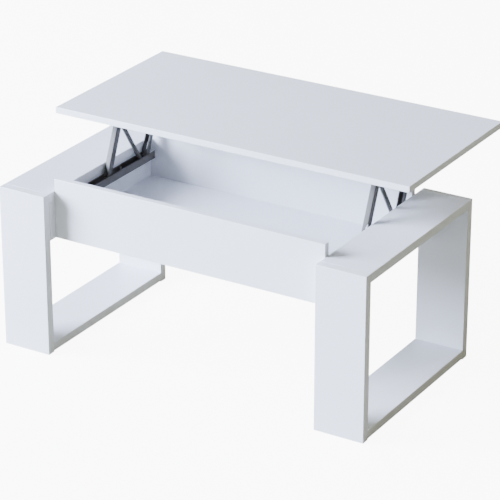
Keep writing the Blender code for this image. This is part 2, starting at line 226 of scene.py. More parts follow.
def shaded(name, base, roughness, metallic=0.0, coat=0.0):
    """A Principled material, with its node tree and its shader."""
    material = bpy.data.materials.new(name)
    material.use_nodes = True
    material.diffuse_color = (*base, 1)
    tree = material.node_tree
    shader = tree.nodes["Principled BSDF"]
    shader.inputs["Base Color"].default_value = (*base, 1)
    shader.inputs["Roughness"].default_value = roughness
    shader.inputs["Metallic"].default_value = metallic
    shader.inputs["Coat Weight"].default_value = coat
    return material, tree, shader


def noise(tree, scale, detail=2.0, stretch=(1, 1, 1)):
    """A noise texture on object coordinates, stretched along the axes."""
    place = node(tree, "ShaderNodeTexCoord")
    mapping = node(tree, "ShaderNodeMapping", Scale=stretch)
    texture = node(tree, "ShaderNodeTexNoise", Scale=scale, Detail=detail)
    link(tree, (place, "Object", mapping, "Vector"), (mapping, "Vector", texture, "Vector"))
    return texture


def tint(tree, shader, texture, dark, light):
    """Lets a texture run the base colour between two colours."""
    ramp = node(tree, "ShaderNodeValToRGB")
    for stop, place, shade in zip(ramp.color_ramp.elements, (0.3, 0.7), (dark, light)):
        stop.position = place
        stop.color = (*shade, 1)
    link(tree, (texture, "Fac", ramp, "Fac"), (ramp, "Color", shader, "Base Color"))


def roughen(tree, shader, texture, low, high):
    """Lets a texture run the roughness between two values."""
    span = node(tree, "ShaderNodeMapRange", **{"To Min": low, "To Max": high})
    link(tree, (texture, "Fac", span, "Value"), (span, "Result", shader, "Roughness"))


def relief(tree, shader, texture, strength, distance):
    """Lets a texture raise the surface."""
    bump = node(tree, "ShaderNodeBump", Strength=strength, Distance=distance)
    link(tree, (texture, "Fac", bump, "Height"), (bump, "Normal", shader, "Normal"))


def around(base, spread):
    """A darker and a lighter shade of a colour."""
    return [part * (1 - spread) for part in base], [part * (1 + spread) for part in base]


def melamine(name, base):
    """Satin melamine with a fine orange-peel grain and a faint unevenness of tone."""
    material, tree, shader = shaded(name, base, roughness=0.4)
    tint(tree, shader, noise(tree, scale=6.0, detail=3.0), *around(base, spread=0.012))
    roughen(tree, shader, noise(tree, scale=45.0), low=0.34, high=0.44)
    relief(tree, shader, noise(tree, scale=900.0), strength=0.12, distance=0.05 * MM)
    return material


def edge_band(name, base):
    """Extruded edge band, a little glossier than the faces, with a faint unevenness."""
    material, tree, shader = shaded(name, base, roughness=0.3)
    tint(tree, shader, noise(tree, scale=8.0), *around(base, spread=0.01))
    roughen(tree, shader, noise(tree, scale=80.0), low=0.27, high=0.31)
    relief(tree, shader, noise(tree, scale=900.0), strength=0.05, distance=0.03 * MM)
    return material


def enamel(name, base):
    """Grey enamel on steel, with a fine fleck."""
    material, tree, shader = shaded(name, base, roughness=0.5, metallic=0.06)
    tint(tree, shader, noise(tree, scale=1400.0, detail=1.0), *around(base, spread=0.10))
    roughen(tree, shader, noise(tree, scale=60.0, detail=3.0), low=0.46, high=0.56)
    relief(tree, shader, noise(tree, scale=700.0), strength=0.10, distance=0.04 * MM)
    return material


def plated(name, base):
    """Zinc plate with small cloudy patches."""
    material, tree, shader = shaded(name, base, roughness=0.3, metallic=1.0)
    tint(tree, shader, noise(tree, scale=350.0, detail=3.0), *around(base, spread=0.06))
    roughen(tree, shader, noise(tree, scale=500.0), low=0.22, high=0.38)
    return material


def drawn_wire(name, base):
    """Drawn spring wire with a film of oil."""
    material, tree, shader = shaded(name, base, roughness=0.34, metallic=0.9, coat=0.2)
    tint(tree, shader, noise(tree, scale=500.0), *around(base, spread=0.12))
    grain = noise(tree, scale=1500.0, detail=1.0)
    relief(tree, shader, grain, strength=0.08, distance=0.02 * MM)
    return material


def beech(name, base):
    """Bare beech with short dark flecks along the grain."""
    material, tree, shader = shaded(name, base, roughness=0.6)
    flecks = noise(tree, scale=250.0, detail=4.0, stretch=(1, 0.12, 1))
    tint(tree, shader, flecks, *around(base, spread=0.25))
    grain = noise(tree, scale=600.0, stretch=(1, 0.1, 1))
    relief(tree, shader, grain, strength=0.3, distance=0.1 * MM)
    return material


MAKERS = {
    "melamine_face": (melamine, "boards", "face"),
    "melamine_edge": (edge_band, "boards", "edge"),
    "grey_enamel": (enamel, "steel", "paint"),
    "zinc_plate": (plated, "fasteners", "plating"),
    "spring_wire": (drawn_wire, "springs", "tone"),
    "beech_wood": (beech, "fasteners", "beech"),
}


def material_of(name):
    """A finish of the table, made the first time that it is asked for."""
    if name not in bpy.data.materials:
        maker, group, setting = MAKERS[name]
        base = getattr(getattr(bpy.context.scene.lift_table, group), setting)
        return maker(name, tuple(base))
    return bpy.data.materials[name]


# Places


def middle_of(name):
    """The middle of a node's box."""
    low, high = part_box(name)
    return (low + high) / 2


def side_of(name):
    """-1 for a node on the left, and 1 for one on the right."""
    return -1 if name.startswith("left") else 1


def end_seat(name, way, inset=0.0):
    """The place at a node's end along X, set in by a distance, and the way that it faces."""
    low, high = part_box(name)
    x = low.x + inset if way < 0 else high.x - inset
    return (x, *middle_of(name).yz), (way, 0, 0)


# Mesh tools

# Faces round an arc
ARC_STEPS = 4

# Folded steel: edges that turn by more are rounded, and are shaded as sharp
BEVEL_ANGLE = math.radians(35)
STEEL_CREASE = math.radians(32)


def made(name, bm, *finishes):
    """Makes an object of a bmesh."""
    mesh = bpy.data.meshes.new(name)
    bm.to_mesh(mesh)
    bm.free()
    for finish in finishes:
        mesh.materials.append(material_of(finish))
    thing = bpy.data.objects.new(name, mesh)
    bpy.context.scene.collection.objects.link(thing)
    return thing


def applied(thing):
    """Gives an object the plain mesh that its modifiers make, and removes them."""
    bpy.context.view_layer.update()
    graph = bpy.context.evaluated_depsgraph_get()
    mesh = bpy.data.meshes.new_from_object(
        thing.evaluated_get(graph), preserve_all_data_layers=True, depsgraph=graph,
    )
    mesh.name = thing.name
    thing.modifiers.clear()
    thing.data = mesh


def placed(thing, body, slot, *nodes):
    """Hangs a finished piece on its body and lets it stand for its solids."""
    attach(thing, body)
    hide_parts(*nodes)


def rounded(corners):
    """An outline whose corners, given as (x, y, radius), are rounded by arcs."""
    points = []
    count = len(corners)
    for index, (x, y, radius) in enumerate(corners):
        corner = Vector((x, y))
        if radius <= 0:
            points.append(corner)
            continue
        before = (Vector(corners[index - 1][:2]) - corner).normalized()
        after = (Vector(corners[(index + 1) % count][:2]) - corner).normalized()
        half = before.angle(after) / 2
        centre = corner + (before + after).normalized() * radius / math.sin(half)
        start = corner + before * radius / math.tan(half) - centre
        end = corner + after * radius / math.tan(half) - centre
        sweep = start.angle_signed(end)
        for step in range(ARC_STEPS + 1):
            points.append(centre + Matrix.Rotation(-sweep * step / ARC_STEPS, 2) @ start)
    return points


def lofted(rings):
    """A closed solid through rings of equally many points."""
    bm = bmesh.new()
    rows = [[bm.verts.new(point) for point in ring] for ring in rings]
    for low, high in zip(rows, rows[1:]):
        for step in range(len(low)):
            bm.faces.new((low[step - 1], low[step], high[step], high[step - 1]))
    for row in (rows[0], rows[-1]):
        bm.faces.new(row)
    bmesh.ops.recalc_face_normals(bm, faces=bm.faces)
    return bm


def prism(outline, low, high, axis="Y"):
    """A prism along an axis over an outline of pairs of the other two coordinates."""
    index = "XYZ".index(axis)
    return lofted(
        [(*point[:index], place, *point[index:]) for point in outline] for place in (low, high)
    )


def turned(profile, axis="Z", steps=32):
    """A solid turned about Z or X from (radius, height) points that start and end on it."""
    bm = bmesh.new()
    angles = [math.tau * step / steps for step in range(steps)]
    rings = [
        [bm.verts.new((radius * math.cos(a), radius * math.sin(a), height)) for a in angles]
        for radius, height in profile[1:-1]
    ]
    for step in range(steps):
        for low, high in zip(rings, rings[1:]):
            bm.faces.new((low[step - 1], low[step], high[step], high[step - 1]))
    for (_, height), ring in ((profile[0], rings[0]), (profile[-1], rings[-1])):
        tip = bm.verts.new((0, 0, height))
        for step in range(steps):
            bm.faces.new((ring[step - 1], ring[step], tip))
    bmesh.ops.recalc_face_normals(bm, faces=bm.faces)
    if axis == "X":
        bmesh.ops.transform(bm, matrix=Matrix.Rotation(math.pi / 2, 4, "Y"), verts=bm.verts)
    return bm


def domed(radius, low, high, steps):
    """(radius, height) points of a domed head, from its top on the axis to its rim."""
    points = [(0, high)]
    for step in range(1, steps + 1):
        angle = math.pi / 2 * (1 - step / steps)
        points.append((radius * math.cos(angle), low + (high - low) * math.sin(angle)))
    return points


def cut(thing, tools, operation="DIFFERENCE"):
    """Cuts a piece with helper objects, and removes the helpers."""
    for tool in tools:
        boolean = thing.modifiers.new(tool.name, "BOOLEAN")
        boolean.operation = operation
        boolean.object = tool
    applied(thing)
    for tool in tools:
        bpy.data.objects.remove(tool)


def smoothed(thing, crease):
    """Shades a piece smooth, apart from edges that turn by more than an angle."""
    thing.data.shade_smooth()
    thing.data.set_sharp_from_angle(angle=crease)


def eased(thing, width):
    """Rounds a cut piece's edges and keeps its flat faces flat."""
    bevel = thing.modifiers.new("eased", "BEVEL")
    bevel.width = width
    bevel.segments = 2
    bevel.limit_method = "ANGLE"
    bevel.angle_limit = BEVEL_ANGLE
    bevel.use_clamp_overlap = True
    applied(thing)
    smoothed(thing, STEEL_CREASE)
    flat = thing.modifiers.new("flat_faces", "WEIGHTED_NORMAL")
    flat.keep_sharp = True
    applied(thing)


def hole(name, radius, length, place):
    """A helper that cuts a round hole along X through a place."""
    bm = turned([(0, -length), (radius, -length), (radius, length), (0, length)], "X")
    bmesh.ops.translate(bm, vec=place, verts=bm.verts)
    return made(name, bm)


# Geometry Nodes tools

# Faces round one turn of a coil, round an eye and round the wire
TURN_STEPS = 14
EYE_STEPS = 28
WIRE_SIDES = 6


def new_tree(name, **inputs):
    """A geometry tree with named inputs, each given as (socket type, default)."""
    tree = bpy.data.node_groups.new(name, "GeometryNodeTree")
    for way in ("OUTPUT", "INPUT"):
        tree.interface.new_socket("Geometry", in_out=way, socket_type="NodeSocketGeometry")
    for label, (kind, default) in inputs.items():
        socket = tree.interface.new_socket(
            label, in_out="INPUT", socket_type=f"NodeSocket{kind}",
        )
        if default is not None:
            socket.default_value = default
    return tree, tree.nodes.new("NodeGroupInput"), tree.nodes.new("NodeGroupOutput")


def close_tree(tree, given, out, last, output):
    """Ends a tree in Realize Instances and Set Material."""
    real = node(tree, "GeometryNodeRealizeInstances")
    paint = node(tree, "GeometryNodeSetMaterial")
    link(
        tree,
        (last, output, real, "Geometry"),
        (real, "Geometry", paint, "Geometry"),
        (given, "Finish", paint, "Material"),
        (paint, "Geometry", out, "Geometry"),
    )


def run_tree(thing, tree, **values):
    """Runs a geometry tree on an object and keeps the plain mesh that it makes."""
    modifier = thing.modifiers.new(tree.name, "NODES")
    modifier.node_group = tree
    for item in tree.interface.items_tree:
        if item.in_out == "INPUT" and item.name in values:
            modifier[item.identifier] = values[item.name]
    applied(thing)


def fastener_tree():
    """Sets one fastener on each point of a mesh, along the point's facing vector."""
    tree, given, out = new_tree(
        "fasteners_on_points",
        Fastener=("Object", None), Finish=("Material", None), Seed=("Int", 0),
    )
    facing = node(
        tree, "GeometryNodeInputNamedAttribute", data_type="FLOAT_VECTOR", Name="facing",
    )
    align = node(tree, "FunctionNodeAlignRotationToVector", axis="Z")
    spin = node(tree, "FunctionNodeRandomValue", data_type="FLOAT", Max=math.tau)
    axis_turn = node(tree, "FunctionNodeAxisAngleToRotation")
    turn = node(tree, "FunctionNodeRotateRotation", rotation_space="LOCAL")
    source = node(
        tree, "GeometryNodeObjectInfo", transform_space="ORIGINAL", **{"As Instance": True},
    )
    copies = node(tree, "GeometryNodeInstanceOnPoints")
    link(
        tree,
        (facing, "Attribute", align, "Vector"),
        (given, "Seed", spin, "Seed"),
        (spin, 1, axis_turn, "Angle"),
        (align, "Rotation", turn, "Rotation"),
        (axis_turn, "Rotation", turn, "Rotate By"),
        (given, "Fastener", source, "Object"),
        (given, "Geometry", copies, "Points"),
        (source, "Geometry", copies, "Instance"),
        (turn, "Rotation", copies, "Rotation"),
    )
    close_tree(tree, given, out, copies, "Instances")
    return tree


def coil_tree():
    """A close-wound coil along +Z from a start height, with a wire eye about X at the origin."""
    tree, given, out = new_tree(
        "tension_coil",
        Radius=("Float", 5 * MM), Wire=("Float", 0.6 * MM), Start=("Float", 8 * MM),
        Length=("Float", 100 * MM), Turns=("Float", 80.0), Eye=("Float", 4 * MM),
        Finish=("Material", None),
    )
    section = node(tree, "GeometryNodeCurvePrimitiveCircle", Resolution=WIRE_SIDES)
    spiral = node(tree, "GeometryNodeCurveSpiral", Resolution=TURN_STEPS)
    coil = node(tree, "GeometryNodeCurveToMesh", **{"Fill Caps": True})
    coil_start = node(tree, "ShaderNodeCombineXYZ")
    lift = node(tree, "GeometryNodeTransform")
    ring = node(tree, "GeometryNodeCurvePrimitiveCircle", Resolution=EYE_STEPS)
    stand = node(tree, "GeometryNodeTransform", Rotation=(0, math.pi / 2, 0))
    eye = node(tree, "GeometryNodeCurveToMesh")
    neck_low = node(tree, "ShaderNodeCombineXYZ")
    neck_high = node(tree, "ShaderNodeCombineXYZ")
    neck_line = node(tree, "GeometryNodeCurvePrimitiveLine")
    neck = node(tree, "GeometryNodeCurveToMesh", **{"Fill Caps": True})
    join = node(tree, "GeometryNodeJoinGeometry")
    shade = node(tree, "GeometryNodeSetShadeSmooth", **{"Shade Smooth": True})
    link(
        tree,
        (given, "Radius", spiral, "Start Radius"),
        (given, "Radius", spiral, "End Radius"),
        (given, "Length", spiral, "Height"),
        (given, "Turns", spiral, "Rotations"),
        (given, "Wire", section, "Radius"),
        (spiral, "Curve", coil, "Curve"),
        (section, "Curve", coil, "Profile Curve"),
        (given, "Start", coil_start, "Z"),
        (coil, "Mesh", lift, "Geometry"),
        (coil_start, "Vector", lift, "Translation"),
        (given, "Eye", ring, "Radius"),
        (ring, "Curve", stand, "Geometry"),
        (stand, "Geometry", eye, "Curve"),
        (section, "Curve", eye, "Profile Curve"),
        (given, "Eye", neck_low, "Z"),
        (given, "Start", neck_high, "Z"),
        (given, "Radius", neck_high, "X"),
        (neck_low, "Vector", neck_line, "Start"),
        (neck_high, "Vector", neck_line, "End"),
        (neck_line, "Curve", neck, "Curve"),
        (section, "Curve", neck, "Profile Curve"),
        (lift, "Geometry", join, "Geometry"),
        (eye, "Mesh", join, "Geometry"),
        (neck, "Mesh", join, "Geometry"),
        (join, "Geometry", shade, "Geometry"),
    )
    close_tree(tree, given, out, shade, "Geometry")
    return tree


# Boards

# A face lies flat when its normal reaches this far along an axis
FLAT = 0.999

# Boards nearer than this meet
BUTT_REACH = 1 * MM

# Depths below a rail's face of a bolt's hole and of the bolt's conical head
SINK_DEPTH = 30 * MM
BOLT_CONE = 4 * MM


def band_face(bm, face, width, seam):
    """Marks off an edge band round a large face with a hairline seam."""
    bmesh.ops.inset_region(bm, faces=[face], thickness=width)
    for depth in (-seam, seam):
        bmesh.ops.inset_region(bm, faces=[face], thickness=seam, depth=depth)
    face.material_index = 0


def meets(place, name):
    """Whether a place on a board touches, or nearly touches, another board."""
    for other in BOARDS:
        low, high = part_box(other)
        near = all(low[i] - BUTT_REACH < place[i] < high[i] + BUTT_REACH for i in range(3))
        if other != name and near:
            return True
    return False


def board_piece(name, settings):
    """A board with rounded edges and an edge band round both of its large faces."""
    low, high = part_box(name)
    extent = high - low
    thin = min(range(3), key=lambda axis: extent[axis])
    bm = bmesh.new()
    bmesh.ops.create_cube(bm, size=1)
    bmesh.ops.scale(bm, vec=extent, verts=bm.verts)
    bmesh.ops.translate(bm, vec=middle_of(name), verts=bm.verts)
    middles = [(edge.verts[0].co + edge.verts[1].co) / 2 for edge in bm.edges]
    board = made(f"{name}_board", bm, "melamine_face", "melamine_edge")
    butt = settings.butt_radius / settings.edge_radius
    weight = board.data.attributes.new("bevel_weight_edge", "FLOAT", "EDGE")
    weight.data.foreach_set(
        "value", [butt if meets(middle, name) else 1.0 for middle in middles],
    )
    rounding = board.modifiers.new("rounded_edges", "BEVEL")
    rounding.width = settings.edge_radius
    rounding.segments = settings.segments
    rounding.limit_method = "WEIGHT"
    applied(board)
    bm = bmesh.new()
    bm.from_mesh(board.data)
    for face in bm.faces:
        face.material_index = 1
        face.smooth = max(abs(part) for part in face.normal) < FLAT
    for face in [face for face in bm.faces if abs(face.normal[thin]) > FLAT]:
        band_face(bm, face, settings.band - settings.edge_radius, settings.seam)
    bm.to_mesh(board.data)
    bm.free()
    return board


def sink(side, end, settings):
    """A helper that cuts the countersink of a connecting bolt."""
    name = f"{side}_{end}_bolt"
    way = side_of(name)
    head = settings.bolt_head + CLEARANCE
    shank = settings.bolt + CLEARANCE
    profile = (
        (0, 2 * CLEARANCE), (head, 2 * CLEARANCE), (head, CLEARANCE),
        (shank, -BOLT_CONE), (shank, -SINK_DEPTH), (0, -SINK_DEPTH),
    )
    bm = turned([(radius, way * height) for radius, height in profile], "X")
    bmesh.ops.translate(bm, vec=end_seat(name, way)[0], verts=bm.verts)
    return made(f"{side}_{end}_sink", bm)


class TABLE_OT_boards(bpy.types.Operator):
    """Makes the legs, the tray and the top of melamine boards"""

    bl_idname = "table.boards"
    bl_label = "Boards"

    def execute(self, context):
        settings = context.scene.lift_table
        for name in BOARDS:
            board = board_piece(name, settings.boards)
            if name.endswith("_rail"):
                side = name.removesuffix("_rail")
                cut(board, [sink(side, end, settings.fasteners) for end in ("front", "back")])
            body = "top" if name == "top_panel" else "base"
            placed(board, body, "white_melamine", name)
        return {"FINISHED"}


# Steel

# Faces round an arm's end, and what the notch in its web leaves beside each flange
ARM_END_STEPS = 10
NOTCH_GAP = 0.01 * MM

# Reach of a bracket's hole to each side of its pivot
BRACKET_DRILL = 8 * MM


def folded_channel(width, depth, settings):
    """Outline of a channel section, open towards -Z, its web on top."""
    half = width / 2
    top = depth / 2
    sheet = settings.sheet
    outer = settings.bend + sheet
    return rounded([
        (-half, -top, 0), (-half, top, outer), (half, top, outer), (half, -top, 0),
        (half - sheet, -top, 0), (half - sheet, top - sheet, settings.bend),
        (sheet - half, top - sheet, settings.bend), (sheet - half, -top, 0),
    ])


def arm_end_outline(length, depth):
    """A bar along +Y with round ends about its two pins."""
    radius = depth / 2
    turns = [math.pi / 2 + math.pi * step / ARM_END_STEPS for step in range(ARM_END_STEPS + 1)]
    near = [(radius * math.cos(turn), radius * math.sin(turn)) for turn in turns]
    return near + [(length - y, -z) for y, z in near]


def arm_piece(name, side, pivot, web, settings):
    """A folded arm from its lower pin to its upper pin. Its web faces the way that web says."""
    steel = settings.steel
    pin = settings.fasteners.pin + CLEARANCE
    low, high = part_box(name)
    width = high.x - low.x
    reach = steel.arm_depth
    outline = [(x, web * z) for x, z in folded_channel(width, reach, steel)]
    bar = made(name + "_steel", prism(outline, -reach, ARM.length + reach), "grey_enamel")
    ends = made(name + "_ends", prism(arm_end_outline(ARM.length, reach), -width, width, "X"))
    cut(bar, [ends], "INTERSECT")
    inside = side * (width / 2 - steel.sheet - NOTCH_GAP)
    opening = [
        (-inside, -reach), (inside, -reach),
        (inside, steel.web_outer), (-inside, steel.web_inner),
    ]
    cut(bar, [
        made(name + "_notch", prism(opening, -reach, reach, "Z")),
        hole(name + "_lower_hole", pin, width, (0, 0, 0)),
        hole(name + "_upper_hole", pin, width, (0, ARM.length, 0)),
    ])
    eased(bar, steel.burr)
    bar.data.transform(Matrix.Translation(pivot) @ Matrix.Rotation(ARM_TURN, 4, "X"))
    placed(bar, name, "painted_steel", name)


class TABLE_OT_arms(bpy.types.Operator):
    """Makes the four lifting arms of folded steel"""

    bl_idname = "table.arms"
    bl_label = "Arms"

    def execute(self, context):
        settings = context.scene.lift_table
        for word, side in SIDES:
            arm_piece(f"{word}_front_arm", side, FRONT_PIVOTS[word], 1, settings)
            arm_piece(f"{word}_rear_arm", side, REAR_PIVOTS[word], -1, settings)
        return {"FINISHED"}


class TABLE_OT_channels(bpy.types.Operator):
    """Makes the two channels that stand in the tray"""

    bl_idname = "table.channels"
    bl_label = "Channels"

    def execute(self, context):
        steel = context.scene.lift_table.steel
        fasteners = context.scene.lift_table.fasteners
        for word, _ in SIDES:
            name = f"{word}_channel"
            low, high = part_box(name)
            extent = high - low
            middle = middle_of(name)
            outline = [(x, -z) for x, z in folded_channel(extent.x, extent.z, steel)]
            channel = made(name + "_steel", prism(outline, low.y, high.y), "grey_enamel")
            channel.data.transform(Matrix.Translation((middle.x, 0, middle.z)))
            pins = (
                (FRONT_PIVOTS[word], fasteners.pin), (REAR_PIVOTS[word], fasteners.pin),
                (ANCHORS[word], fasteners.anchor_pin),
            )
            cut(channel, [
                hole(f"{name}_hole_{index}", radius + RIVET_CLEARANCE, extent.x, place)
                for index, (place, radius) in enumerate(pins)
            ])
            eased(channel, steel.burr)
            placed(channel, "base", "painted_steel", name)
        return {"FINISHED"}


class TABLE_OT_brackets(bpy.types.Operator):
    """Makes the angle brackets under the top"""

    bl_idname = "table.brackets"
    bl_label = "Brackets"

    def execute(self, context):
        steel = context.scene.lift_table.steel
        pin = context.scene.lift_table.fasteners.pin + CLEARANCE
        spacing = REAR_PIVOTS["left"] - FRONT_PIVOTS["left"]
        for word, side in SIDES:
            name = f"{word}_lid_bracket"
            low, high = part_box(name)
            wall, toe = (low.x, high.x) if side < 0 else (high.x, low.x)
            inner = wall - side * steel.sheet
            under = high.z - steel.sheet
            outline = rounded([
                (wall, low.z, 0), (wall, high.z, steel.bend + steel.sheet), (toe, high.z, 0),
                (toe, under, 0), (inner, under, steel.bend), (inner, low.z, 0),
            ])
            bracket = made(name + "_steel", prism(outline, low.y, high.y), "grey_enamel")
            pivots = (LID_PIVOTS[word], LID_PIVOTS[word] + spacing)
            cut(bracket, [
                hole(f"{name}_hole_{index}", pin, BRACKET_DRILL, place)
                for index, place in enumerate(pivots)
            ])
            eased(bracket, steel.burr)
            placed(bracket, "top", "painted_steel", name)
        return {"FINISHED"}


# Springs

# Pitch of the close-wound coils, in diameters of the wire
COIL_PITCH = 1.04


class TABLE_OT_springs(bpy.types.Operator):
    """Winds the springs, each as a barrel and a core that slide in each other"""

    bl_idname = "table.springs"
    bl_label = "Springs"

    def execute(self, context):
        settings = context.scene.lift_table.springs
        fasteners = context.scene.lift_table.fasteners
        tree = coil_tree()
        wire = settings.wire / 2
        halves = (
            (
                "lower", settings.radius, settings.barrel_gap,
                ANCHORS, SPRING_TURN, fasteners.anchor_pin,
            ),
            (
                "upper", settings.core, settings.core_gap,
                LID_PIVOTS, SPRING_TURN + math.pi, fasteners.pin,
            ),
        )
        for word, _ in SIDES:
            for half, radius, gap, pins, turn, pin in halves:
                name = f"{word}_spring_{half}"
                length = SPRING.length - gap - settings.start - settings.wire
                coil = made(f"{name}_coil", bmesh.new())
                run_tree(
                    coil, tree, Radius=radius - wire, Wire=wire, Start=settings.start + wire,
                    Length=length, Turns=length / (settings.wire * COIL_PITCH),
                    Eye=pin + settings.eye_gap + wire, Finish=material_of("spring_wire"),
                )
                stand = Matrix.Rotation(turn, 4, "X") @ Matrix.Rotation(-math.pi / 2, 4, "X")
                coil.data.transform(Matrix.Translation(pins[word]) @ stand)
                placed(coil, name, "spring_steel", name)
        return {"FINISHED"}


# Fasteners

# Edges that turn by more are shaded as sharp
FASTENER_CREASE = math.radians(30)
PIN_CREASE = math.radians(40)

# Wood screw: the head's height, the part of it that is a straight wall, and lengths below it
SCREW_DOME = 1.8 * MM
SCREW_DOME_STEPS = 6
SCREW_WALL = 0.45
SCREW_NECK = 1.2 * MM
SCREW_TIP = 12 * MM
SCREW_LENGTH = 14 * MM

# Thread: its root is a share of its crest
THREAD_START = 2 * MM
THREAD_PITCH = 1.4 * MM
THREAD_TURNS = 7
THREAD_ROOT = 0.7

# Cross recess: its span is a share of the head, and its slot a share of its span
RECESS_TIP = 0.5 * MM
RECESS_SPAN = 0.62
RECESS_DEPTH = 1.4 * MM
RECESS_SLOT = 0.26
RECESS_SET = 0.55 * MM

# Connecting bolt: its tip and length below its face, and its point as a share of its shank
BOLT_EASE = 0.3 * MM
BOLT_TIP = 48 * MM
BOLT_LENGTH = 50 * MM
BOLT_POINT = 0.6
SOCKET_RADIUS = 2.3 * MM
SOCKET_DEPTH = 3 * MM

# Dowel: the bottom of its flutes and its ends as shares of its radius
DOWEL_FLUTES = 16
DOWEL_FLUTE = 0.94
DOWEL_HALF = 14 * MM
DOWEL_END = 1 * MM
DOWEL_END_SCALE = 0.85

# Pins: the easing of a flush end, and the height of a domed one
PIN_EASE = 0.4 * MM
RIVET_DOME = 1.2 * MM
RIVET_DOME_STEPS = 5


def pan_head_screw(settings):
    """A pan-head wood screw along +Z, its seat at height 0, with a cross recess and a thread."""
    head = settings.screw_head
    crest = settings.screw
    root = crest * THREAD_ROOT
    profile = domed(head, SCREW_DOME * SCREW_WALL, SCREW_DOME, SCREW_DOME_STEPS)
    profile += [(head, 0), (crest, 0), (crest, -SCREW_NECK)]
    for turn in range(THREAD_TURNS):
        height = -THREAD_START - turn * THREAD_PITCH
        profile += [(root, height), (crest, height - THREAD_PITCH / 2)]
    profile += [(root, -SCREW_TIP), (0, -SCREW_LENGTH)]
    screw = made("pan_head_screw", turned(profile, steps=24))
    slots = []
    for turn in (0, math.pi / 2):
        bm = bmesh.new()
        bmesh.ops.create_cone(
            bm, cap_ends=True, segments=4, radius1=RECESS_TIP, radius2=head * RECESS_SPAN,
            depth=RECESS_DEPTH,
        )
        bmesh.ops.rotate(bm, verts=bm.verts, matrix=Matrix.Rotation(math.pi / 4, 3, "Z"))
        bmesh.ops.scale(bm, vec=(1, RECESS_SLOT, 1), verts=bm.verts)
        bmesh.ops.rotate(bm, verts=bm.verts, matrix=Matrix.Rotation(turn, 3, "Z"))
        bmesh.ops.translate(bm, vec=(0, 0, SCREW_DOME - RECESS_SET), verts=bm.verts)
        slots.append(made(f"cross_{len(slots)}", bm))
    cut(screw, slots)
    smoothed(screw, FASTENER_CREASE)
    return screw


def connecting_bolt(settings):
    """A countersunk bolt along +Z with a hexagon socket, its face at height 0."""
    head = settings.bolt_head
    shank = settings.bolt
    bolt = made("connecting_bolt", turned([
        (0, 0), (head - BOLT_EASE, 0), (head, -BOLT_EASE), (shank, -BOLT_CONE),
        (shank, -BOLT_TIP), (shank * BOLT_POINT, -BOLT_LENGTH), (0, -BOLT_LENGTH),
    ]))
    bm = bmesh.new()
    bmesh.ops.create_cone(
        bm, cap_ends=True, segments=6, radius1=SOCKET_RADIUS, radius2=SOCKET_RADIUS,
        depth=2 * SOCKET_DEPTH,
    )
    cut(bolt, [made("hexagon_socket", bm)])
    smoothed(bolt, FASTENER_CREASE)
    return bolt


def fluted_dowel(settings):
    """A beech dowel along +Z with pressed flutes and rounded ends."""
    rim = []
    for step in range(DOWEL_FLUTES * 3):
        radius = settings.dowel * (DOWEL_FLUTE if step % 3 == 0 else 1.0)
        angle = math.tau * step / (DOWEL_FLUTES * 3)
        rim.append((radius * math.cos(angle), radius * math.sin(angle)))
    end = DOWEL_HALF + DOWEL_END
    rings = (
        (-end, DOWEL_END_SCALE), (-DOWEL_HALF, 1), (DOWEL_HALF, 1), (end, DOWEL_END_SCALE),
    )
    bm = lofted([(scale * x, -scale * y, height) for x, y in rim] for height, scale in rings)
    return made("fluted_dowel", bm)


def flush_pin(radius, length):
    """A riveted pin along Z, as long as the channel is wide, with eased ends."""
    half = length / 2
    rim = radius - 2 * PIN_EASE
    pin = made("flush_pin", turned([
        (0, half), (rim, half), (radius, half - PIN_EASE),
        (radius, PIN_EASE - half), (rim, -half), (0, -half),
    ]))
    smoothed(pin, PIN_CREASE)
    return pin


def lid_pin(name, body, settings):
    """An upper pin with a domed head at each end."""
    low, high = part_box(name)
    half = (high.x - low.x) / 2
    neck = half - RIVET_DOME
    head = domed(settings.pin_head, neck, half, RIVET_DOME_STEPS)
    profile = head + [(settings.pin, neck), (settings.pin, -neck)]
    profile += [(radius, -height) for radius, height in reversed(head)]
    bm = turned(profile, "X")
    bmesh.ops.translate(bm, vec=middle_of(name), verts=bm.verts)
    pin = made(name + "_rivet", bm, "zinc_plate")
    smoothed(pin, PIN_CREASE)
    placed(pin, body, "zinc_steel", name)


def set_on_points(name, body, slot, finish, fastener, seats, tree, seed):
    """Sets copies of a fastener on {node: (place, facing)} seats, as one piece of a body."""
    bm = bmesh.new()
    for place, _ in seats.values():
        bm.verts.new(place)
    group = made(name, bm)
    facing = group.data.attributes.new("facing", "FLOAT_VECTOR", "POINT")
    facing.data.foreach_set("vector", [part for _, way in seats.values() for part in way])
    run_tree(group, tree, Fastener=fastener, Finish=material_of(finish), Seed=seed)
    bpy.data.objects.remove(fastener)
    placed(group, body, slot, *seats)


def lid_screw_seat(name):
    """The seat of a screw that is driven up into the top."""
    middle = middle_of(name)
    return (middle.x, middle.y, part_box(name)[0].z + SCREW_DOME), (0, 0, -1)


